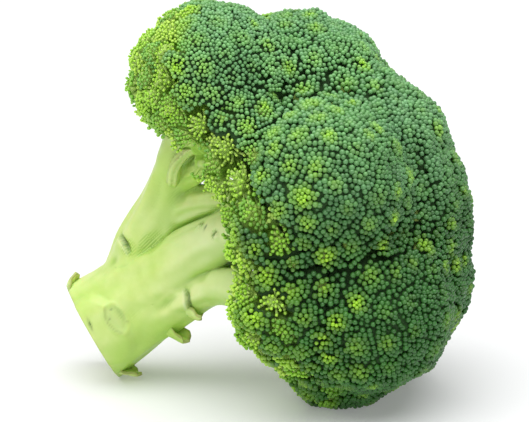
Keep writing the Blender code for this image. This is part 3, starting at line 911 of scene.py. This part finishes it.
def round_limbs(places, lines):
    """For each place: the angle round its nearest limb, how far along it is, and how far off the next is."""
    distance, number = outside(places, lines)
    order = np.sort(distance, axis=0)
    nearest = distance.argmin(axis=0)
    turn, along = np.zeros(len(places)), np.zeros(len(places))
    for n, (points, _) in enumerate(lines):
        own = np.flatnonzero(nearest == n)
        headings = unit(np.gradient(points, axis=0))
        level = unit(np.cross(headings, (0, 0, 1.0)))
        side = np.cross(headings, level)
        k = number[n, own]
        off = places[own] - points[k]
        turn[own] = np.arctan2(dot(off, side[k]), dot(off, level[k]))
        steps = np.concatenate([[0], np.cumsum(np.linalg.norm(np.diff(points, axis=0), axis=1))])
        along[own] = steps[k] + dot(off, headings[k])
    return turn + nearest, along, order[1] - order[0]


def hollowness(mesh):
    """How far each point is in a groove, and in a broad valley, each from 0 to 1."""
    edges = np.empty(len(mesh.edges) * 2, np.int32)
    mesh.edges.foreach_get("vertices", edges)
    a, b = edges.reshape(-1, 2).T
    links = np.bincount(np.concatenate([a, b]), minlength=len(mesh.vertices))[:, None]

    def around(values):
        total = np.zeros_like(values)
        np.add.at(total, a, values[b])
        np.add.at(total, b, values[a])
        return total / np.maximum(links, 1)

    places = vectors(mesh, "co")
    hollow = dot(around(places) - places, vectors(mesh, "normal"))[:, None]
    for _ in range(GROOVE_ROUNDS):
        hollow = around(hollow)
    broad = hollow
    for _ in range(VALLEY_ROUNDS):
        broad = around(broad)
    return smooth(*GROOVE, hollow[:, 0]), smooth(*VALLEY, broad[:, 0])


def local_to(places, limbs, row):
    """Each place's millimetres along the limb, across it and out of it, from the row's place on its bark."""
    limb, *where = row[:4]
    centre, *headings = limbs[limb].on_bark(*where)
    return [(places - centre) / MM @ heading for heading in headings]


def near_to(places, limbs, row):
    """1 at the middle of an oval on the bark, falling off smoothly outside it."""
    a, b, c = local_to(places, limbs, row)
    return bell(a / row[4]) * bell(b / row[5]) * bell(c / BARK_DEPTH)


def oval_of(places, limbs, row):
    """Each place from the middle of an oval on the bark, in its half-sizes: along, across and in all."""
    a, b, c = local_to(places, limbs, row)
    a, b = a / row[4], b / row[5]
    return a, b, np.sqrt(a**2 + b**2) + 10 * (np.abs(c) > BARK_DEPTH)


def leaf_scar(places, limbs):
    """(height in millimetres, mark, scar) of the largest leaf's seat and the oval scar on it."""
    _, _, seat = oval_of(places, limbs, CUSHION)
    a, b, oval = oval_of(places, limbs, SCAR)
    height = CUSHION_HEIGHT * (1 - smooth(0.8, 1.05, seat)) - SCAR_DIP * (1 - smooth(0.75, 1.0, oval))
    height += SCAR_RIM * bell((oval - 1.1) / 0.18)
    mark = 0.35 * bell((oval - 0.98) / 0.1) * smooth(0.1, -0.6, a)
    *_, long, wide = SCAR
    for x, y in SCAR_DOTS:
        near = ((a - x) * long) ** 2 + ((b - y) * wide) ** 2
        mark = np.maximum(mark, 0.6 * np.exp(-near / SCAR_DOT**2) * (oval < 2))
    return height, mark, 1 - smooth(0.8, 1.1, oval)


def pocket(places, limbs, row):
    """(height in millimetres, mark, lip) of a leaf scale pressed to the bark, with a slit behind its edge.
    The mark is painted shade in the slit.
    """
    *_, length, half, lift = row
    a, b, c = local_to(places, limbs, row)
    a = a + 0.04 * b**2
    free = np.maximum(1 - np.abs(b / half) ** 2.4, 0) * (np.abs(c) < BARK_DEPTH)
    scale = lift * smooth(-length, -0.5, a) * free
    slit = -1.1 * bell((a - 0.8) / 0.65) * free
    # Painted shade in the slit.
    mark = bell((a - 0.6) / 0.55) * free**0.6
    lip = bell((a + 0.7) / 0.6) * free**0.5
    return np.where(a < 0, scale, slit), mark, lip


def leaf_marks(places, limbs):
    """(height in millimetres, and the tones mark, scar and lip) of what leaves left on the stalk. mark is
    painted shade in the slits, and also the stalk's own dark marks and the scar's dots.
    """
    height, mark, scar = leaf_scar(places, limbs)
    lip = np.zeros(len(places))
    for *row, rise in SWELLINGS:
        height += rise * near_to(places, limbs, row)
    for row in POCKETS:
        rise, slit, edge = pocket(places, limbs, row)
        height, mark, lip = height + rise, np.maximum(mark, slit), np.maximum(lip, edge)
    for row in MARKS:
        near = near_to(places, limbs, row)
        height, mark = height - MARK_DEPTH * near, np.maximum(mark, near)
    return height, {"mark": mark, "scar": scar, "lip": lip}


def shape_stalk(mesh, limbs, lines):
    """Ridges, swellings, slits and the large leaf scar, as moves of the stalk's points and as tones, among
    them painted shade on its underside and in its grooves, valleys and slits.
    """
    run_together(mesh, lines)
    places = vectors(mesh, "co")
    turn, along, next_off = round_limbs(places, lines)
    ridges = sum(share * np.cos(count * turn + along / pitch) for share, count, pitch in RIDGES)
    lumps = np.sin(places / LUMP_WIDTH + np.array([0, 1, 2])).prod(axis=1)
    height, tones = leaf_marks(places, limbs)
    move = RIDGE * ridges * smooth(0, RIDGE_FADES, next_off) + LUMP * lumps
    move += height * MM - GROOVE_DEPTH * hollowness(mesh)[0]
    moved(mesh, places + vectors(mesh, "normal") * move[:, None])
    from_cut = dot(np.array(CUT_CENTRE) - places, np.array(CUT_FACES))
    tones["pale"] = smooth(*PALE_FROM_CUT, from_cut) * smooth(*PALE_BELOW, places[:, 2])
    tones["edge"] = CUT_EDGE * bell(from_cut / CUT_EDGE_WIDTH)
    # Painted shade: the stalk's downward-facing side turns a deeper green.
    tones["below"] = smooth(0.2, -0.7, vectors(mesh, "normal")[:, 2])
    # Painted shade: grooves and broad valleys turn a deeper green.
    tones["crease"], tones["valley"] = hollowness(mesh)
    for name, values in tones.items():
        attribute(mesh, name, values)


def cut_flat(bm):
    """Cuts the stalk off at its end and at the floor, and closes each cut with a flat face."""
    for plane, faces, skin in ((CUT_CENTRE, CUT_FACES, 1), (Vector(), Vector((0, 0, -1)), 0)):
        geometry = [*bm.verts, *bm.edges, *bm.faces]
        cut = bmesh.ops.bisect_plane(bm, geom=geometry, plane_co=plane, plane_no=faces, clear_outer=True)
        edges = [e for e in cut["geom_cut"] if isinstance(e, bmesh.types.BMEdge)]
        for face in bmesh.ops.holes_fill(bm, edges=edges, sides=0)["faces"]:
            face.material_index = skin
            face.smooth = False
            bmesh.ops.triangulate(bm, faces=[face])


def closed_sheet(rows, columns):
    """The faces of a grid of points, of the same grid behind it, and of the rim between them."""
    grid = np.arange(rows * columns).reshape(rows, columns)
    quads = np.stack([grid[:-1, :-1], grid[:-1, 1:], grid[1:, 1:], grid[1:, :-1]], axis=-1).reshape(-1, 4)
    border = np.concatenate([grid[0, :-1], grid[:-1, -1], grid[-1, :0:-1], grid[:0:-1, 0]])
    ahead = np.roll(border, -1)
    rim = np.stack([border, border + grid.size, ahead + grid.size, ahead], axis=1)
    return np.concatenate([quads, quads[:, ::-1] + grid.size, rim])


def leaf_base(limb, share, turn, slant, length, width, lift, thickness):
    """What is left of a cut leaf: a curved scale, open towards the crown, as (points, faces, edge)."""
    place, heading, side, out = limb.on_bark(share, turn, slant)
    u, v = np.meshgrid(np.linspace(-1, 1, FLAP_GRID[1]), np.linspace(0, 1, FLAP_GRID[0]))
    hug = (u * width / 2) ** 2 / (2 * limb.radius(share) / MM)
    free = smooth(0, 1, v) * (1 - np.abs(u) ** 2.4)
    rise = (lift + thickness + FLAP_SUNK) * free - FLAP_SUNK - hug + 0.2 * np.sin(5 * u + 9 * share) * free
    ragged = 0.1 * np.sin(4 * u + 11 * share) + 0.06 * np.sin(11 * u + turn)
    ahead = length * (v - 0.7) + length * (ragged - 0.3 * u**2) * v - 0.3 * lift * v**4
    across = -width / 2 * u * (0.6 + 0.7 * v - 0.3 * v**2)
    thick = thickness * (2.0 - 1.4 * v)
    outer = ahead[..., None] * heading + across[..., None] * side + rise[..., None] * out
    inner = outer - thick[..., None] * out + 0.3 * (thick * v)[..., None] * heading
    points = place + np.concatenate([outer.reshape(-1, 3), inner.reshape(-1, 3)]) * MM
    past_cut = np.maximum(dot(points - np.array(CUT_CENTRE), np.array(CUT_FACES)) + FLAP_OFF_CUT, 0)
    points -= past_cut[:, None] * np.array(CUT_FACES)
    return points, closed_sheet(*FLAP_GRID), np.tile(smooth(0.86, 1.0, v).ravel(), 2)


def flaps_mesh(limbs):
    points, faces, edges, at = [], [], [], 0
    for limb, *sizes in FLAPS:
        found = leaf_base(limbs[limb], *sizes)
        points.append(found[0])
        faces.append(found[1] + at)
        edges.append(found[2])
        at += len(found[0])
    mesh = mesh_of("flaps", np.concatenate(points), [np.concatenate(faces)])
    attribute(mesh, "edge", np.concatenate(edges))
    bm = bmesh.new()
    bm.from_mesh(mesh)
    bmesh.ops.recalc_face_normals(bm, faces=bm.faces)
    return mesh_from(bm, "flaps_out")


def stalk_mesh(limbs, florets):
    lines = limb_lines(limbs, florets)
    mesh = grown_together(lines)
    shape_stalk(mesh, limbs, lines)
    bm = bmesh.new()
    bm.from_mesh(mesh)
    for face in bm.faces:
        face.smooth = True
    cut_flat(bm)
    bm.from_mesh(flaps_mesh(limbs))
    return mesh_from(bm, "stalk")


# ---- materials


class Nodes:
    """Short calls for building a node material."""

    def __init__(self, name):
        self.material = bpy.data.materials.new(name)
        self.material.use_nodes = True
        self.tree = self.material.node_tree
        self.surface = self.tree.nodes["Principled BSDF"]

    def feed(self, node, inputs):
        """Joins other nodes' outputs to the node's inputs, or sets them to numbers, colours or places."""
        for key, value in inputs.items():
            if isinstance(value, bpy.types.NodeSocket):
                self.tree.links.new(value, node.inputs[key])
            else:
                node.inputs[key].default_value = (*value, 1.0) if isinstance(value, tuple) else value

    def add(self, kind, inputs, **settings):
        node = self.tree.nodes.new(kind)
        for key, value in settings.items():
            setattr(node, key, value)
        self.feed(node, inputs)
        return node

    def place(self):
        return self.add("ShaderNodeTexCoord", {}).outputs["Object"]

    def given(self, name):
        return self.add("ShaderNodeAttribute", {}, attribute_name=name).outputs["Fac"]

    def maths(self, operation, a, b):
        return self.add("ShaderNodeMath", {0: a, 1: b}, operation=operation, use_clamp=True).outputs[0]

    def ramp(self, factor, *stops):
        node = self.add("ShaderNodeValToRGB", {0: factor})
        while len(node.color_ramp.elements) < len(stops):
            node.color_ramp.elements.new(0.5)
        for element, (place, colour) in zip(node.color_ramp.elements, stops):
            element.position = place
            element.color = (*colour, 1.0)
        return node.outputs[0]

    def mixed(self, factor, a, b, blend="MIX"):
        sockets = {0: factor, 6: a, 7: b}  # the colours' own sockets, past those for numbers and vectors
        return self.add("ShaderNodeMix", sockets, data_type="RGBA", blend_type=blend).outputs[2]

    def times(self, tone, factor, *stops):
        """The tone multiplied by a ramp of colours."""
        return self.mixed(1.0, tone, self.ramp(factor, *stops), "MULTIPLY")

    def toward(self, tone, name, share, colour):
        """The tone moved towards a colour, by the share where the attribute of this name is 1."""
        return self.mixed(self.maths("MULTIPLY", self.given(name), share), tone, colour)

    def height(self, low, high):
        """0 below one height above the floor, 1 above another, and a smooth rise between."""
        parts = self.add("ShaderNodeSeparateXYZ", {0: self.place()})
        inputs = {"Value": parts.outputs["Z"], "From Min": low, "From Max": high}
        return self.add("ShaderNodeMapRange", inputs, interpolation_type="SMOOTHSTEP").outputs["Result"]

    def noise(self, scale, detail=3.0):
        inputs = {"Vector": self.place(), "Scale": scale, "Detail": detail}
        return self.add("ShaderNodeTexNoise", inputs).outputs["Fac"]

    def finish(self, colour, roughness, bumps=None, **plain):
        """The material; bumps is (height, strength, distance)."""
        if bumps:
            bump = self.add("ShaderNodeBump", dict(zip(("Height", "Strength", "Distance"), bumps)))
            plain["Normal"] = bump.outputs["Normal"]
        self.feed(self.surface, {"Base Color": colour, "Roughness": roughness})
        self.feed(self.surface, {key.replace("_", " "): value for key, value in plain.items()})
        return self.material


MATURE = (0.082, 0.245, 0.060)
BLUISH = (0.082, 0.225, 0.088)
# Painted light and shade: the buds' colour is multiplied by this ramp of height. It is lighter and whiter
# towards the crown's top, as if lit from above with a sheen, and darker towards its bottom, as if in shade.
PAINTED_LIGHT_BY_HEIGHT = [(0.0, (0.34, 0.62, 0.24)), (0.45, (0.60, 0.71, 0.60)), (0.92, (2.1, 1.72, 2.3))]
YOUNG = (0.42, 0.77, 0.03)
LOOSE = (0.33, 0.72, 0.04)
PALE = (0.62, 0.88, 0.12)
BUD_BASE = (0.12, 0.30, 0.03)
CROWN_TOP = 155 * MM  # where the height ramp of painted light and shade ends
# What moves the stalk's colour, one over another: attribute, share and colour. below, valley, crease and the
# slits' part of mark are painted shade.
STALK_TONES_AND_PAINTED_SHADE = [
    ("pale", 0.7, (0.71, 0.82, 0.42)),
    # Painted shade on the stalk's underside.
    ("below", 0.6, (0.36, 0.62, 0.06)),
    # Painted shade in the stalk's broad valleys and in its grooves.
    ("valley", 0.8, (0.34, 0.58, 0.06)),
    ("crease", 0.7, (0.24, 0.45, 0.04)),
    ("scar", 0.35, (0.52, 0.64, 0.26)),
    ("lip", 0.6, (0.80, 0.88, 0.50)),
    # Painted shade in the slits, and the stalk's own dark marks and scar dots.
    ("mark", 0.85, (0.06, 0.13, 0.02)),
    ("edge", 0.6, (0.28, 0.30, 0.08)),
]
CUT_RADIUS = 23 * MM
# The rings of the cut end, from its centre to CUT_RADIUS.
CUT_RINGS = [
    (0.0, (0.66, 0.74, 0.40)),
    (0.60, (0.60, 0.70, 0.32)),
    (0.78, (0.42, 0.55, 0.16)),
    (0.86, (0.62, 0.72, 0.36)),
    (0.96, (0.52, 0.60, 0.24)),
    (1.0, (0.40, 0.42, 0.18)),
]


def bud_skin():
    n = Nodes("bud_skin")
    # Painted light and shade: lighter towards the crown's top, darker towards its bottom.
    tone = n.times(n.toward(MATURE, "tone", 0.7, BLUISH), n.height(0.0, CROWN_TOP), *PAINTED_LIGHT_BY_HEIGHT)
    tone = n.times(tone, n.given("tint"), (0.0, (0.72, 0.74, 0.70)), (1.0, (1.25, 1.22, 1.25)))
    tone = n.times(tone, n.noise(38.0), (0.35, (0.80, 0.86, 0.78)), (0.65, (1.15, 1.10, 1.05)))
    bunch = n.ramp(n.given("bunch"), (0.45, LOOSE), (0.95, PALE))
    paled = n.ramp(n.given("bunch"), (0.1, (0.3, 0.3, 0.3)), (0.5, (1, 1, 1)))
    tone = n.mixed(n.maths("MULTIPLY", n.given("loose"), paled), tone, bunch)
    tone = n.mixed(n.given("young"), tone, YOUNG)
    base = n.ramp(n.given("up_bud"), (0.3, (1, 1, 1)), (0.65, (0, 0, 0)))
    tone = n.mixed(n.maths("MULTIPLY", base, 0.6), tone, BUD_BASE)
    return n.finish(tone, 0.34, (n.noise(950.0, 2.0), 0.6, 0.3 * MM))


def core_skin():
    n = Nodes("core_skin")
    # Painted shade: the core is a near-black green, for the shade in the gaps between the buds.
    deep = n.mixed(n.noise(300.0), (0.010, 0.045, 0.006), (0.025, 0.085, 0.012))
    tone = n.mixed(n.given("loose"), deep, (0.36, 0.62, 0.07))
    # Painted shade: the core's underside is kept a darker green than the stems.
    under = n.ramp(n.noise(240.0), (0.35, (0.08, 0.19, 0.02)), (0.65, (0.24, 0.42, 0.07)))
    tone = n.mixed(n.given("under"), tone, under)
    return n.finish(tone, 0.8, (n.noise(500.0), 0.8, 1.0 * MM))


def stem_skin():
    n = Nodes("stem_skin")
    tone = n.ramp(n.noise(160.0), (0.3, (0.34, 0.56, 0.08)), (0.7, (0.54, 0.74, 0.18)))
    return n.finish(n.toward(tone, "thin", 0.5, (0.50, 0.70, 0.16)), 0.45)


def stalk_skin():
    n = Nodes("stalk_skin")
    tone = n.ramp(n.noise(30.0), (0.35, (0.50, 0.72, 0.13)), (0.65, (0.74, 0.85, 0.34)))
    tone = n.times(tone, n.noise(170.0, 4.0), (0.35, (0.93, 0.96, 0.86)), (0.7, (1.04, 1.02, 1.10)))
    for name, share, colour in STALK_TONES_AND_PAINTED_SHADE:
        tone = n.toward(tone, name, share, colour)
    bumps = (n.noise(420.0), 0.25, 0.5 * MM)
    return n.finish(tone, 0.38, bumps, Subsurface_Weight=0.12, Subsurface_Scale=4 * MM)


def cut_skin():
    """The cut end: pale pith inside a ring of tougher strands, drying at the rim."""
    n = Nodes("cut_skin")
    off = n.add("ShaderNodeVectorMath", {0: n.place(), 1: CUT_CENTRE}, operation="DISTANCE")
    out = n.maths("DIVIDE", off.outputs["Value"], CUT_RADIUS)
    wavy = n.maths("ADD", out, n.maths("MULTIPLY", n.noise(260.0), 0.08))
    bumps = (n.noise(900.0), 0.3, 0.3 * MM)
    tone = n.ramp(wavy, *CUT_RINGS)
    return n.finish(tone, 0.55, bumps, Subsurface_Weight=0.1, Subsurface_Scale=3 * MM)


# ---- stage

CAMERA_LIFT = 12.0  # degrees above the horizon
CAMERA_AWAY = 0.9  # metres
CAMERA_AIM = shifted((-14, 8, 75))
VIEW_WIDTH = 195.73 * MM  # across the picture, at the aim point
PICTURE = (529, 422)
AIM_ACROSS, AIM_DOWN = 0.5709, 0.481  # where the aim point is, as shares of the picture's sides
WORLD_LIGHT = 0.36
SUN_LIGHT = 3.4
SUN_FROM = Vector((-0.06, -0.25, 1.0))
SUN_SOFTNESS = 75.0  # degrees across
FLOOR_SIZE = 6.0  # metres from its middle to a side
FLOOR_GAP = 0.1 * MM  # between the floor and what lies on it
FLOOR_GLOW = 0.2


def stage():
    bm = bmesh.new()
    bmesh.ops.create_grid(bm, x_segments=1, y_segments=1, size=FLOOR_SIZE)
    floor = scene_object(mesh_from(bm, "floor"))
    floor.location.z = -FLOOR_GAP
    n = Nodes("floor_white")
    pale = n.ramp(n.noise(2.0), (0.0, (0.70, 0.705, 0.71)), (1.0, (0.72, 0.725, 0.73)))
    skin = n.finish(pale, 0.6, Emission_Color=(1, 1, 1), Emission_Strength=FLOOR_GLOW)
    floor.data.materials.append(skin)


def lights():
    world = bpy.data.worlds.new("studio")
    world.use_nodes = True
    sky = world.node_tree.nodes["Background"].inputs
    sky["Color"].default_value = (1, 1, 1, 1)
    sky["Strength"].default_value = WORLD_LIGHT
    bpy.context.scene.world = world
    sun = bpy.data.lights.new("window_light", "SUN")
    sun.energy = SUN_LIGHT
    sun.angle = math.radians(SUN_SOFTNESS)
    scene_object(sun).rotation_euler = SUN_FROM.to_track_quat("Z", "Y").to_euler()
    bpy.context.scene.view_settings.view_transform = "Standard"


def camera():
    lift = math.radians(CAMERA_LIFT)
    forward = Vector((0, math.cos(lift), -math.sin(lift)))
    lens = bpy.data.cameras.new("camera")
    lens.sensor_width = 36.0
    lens.lens = lens.sensor_width * CAMERA_AWAY / VIEW_WIDTH
    lens.shift_x = 0.5 - AIM_ACROSS
    lens.shift_y = (AIM_DOWN - 0.5) * PICTURE[1] / PICTURE[0]
    obj = scene_object(lens)
    obj.location = CAMERA_AIM - forward * CAMERA_AWAY
    obj.rotation_euler = forward.to_track_quat("-Z", "Y").to_euler()
    bpy.context.scene.camera = obj


def main():
    noise = np.random.default_rng(SEED)
    skins = {"buds": bud_skin(), "core": core_skin(), "stems": stem_skin()}
    limbs = {name: Limb(rows) for name, rows in LIMBS.items()}
    florets = []
    for name, (centre, radius, limb, leaves_at, branch_radii) in FLORETS.items():
        florets.append(Floret(name, centre, radius, limbs[limb], leaves_at, branch_radii))
    crown = Crown(florets)
    places = crown.all_places()
    bunches = Bunches(crown, places, noise)
    buds = Buds(crown, bunches, bud_places(crown, bunches, places, noise), noise)
    print(len(places), "places", len(bunches.middles), "bunches", len(buds.tips), "buds")
    for number, floret in enumerate(florets):
        dress_floret(number, floret, crown, bunches, buds, skins, noise)
    place_piece("stem", stalk_mesh(limbs, florets), "stalk", [stalk_skin(), cut_skin()], "stalk")
    stage()
    lights()
    camera()


main()
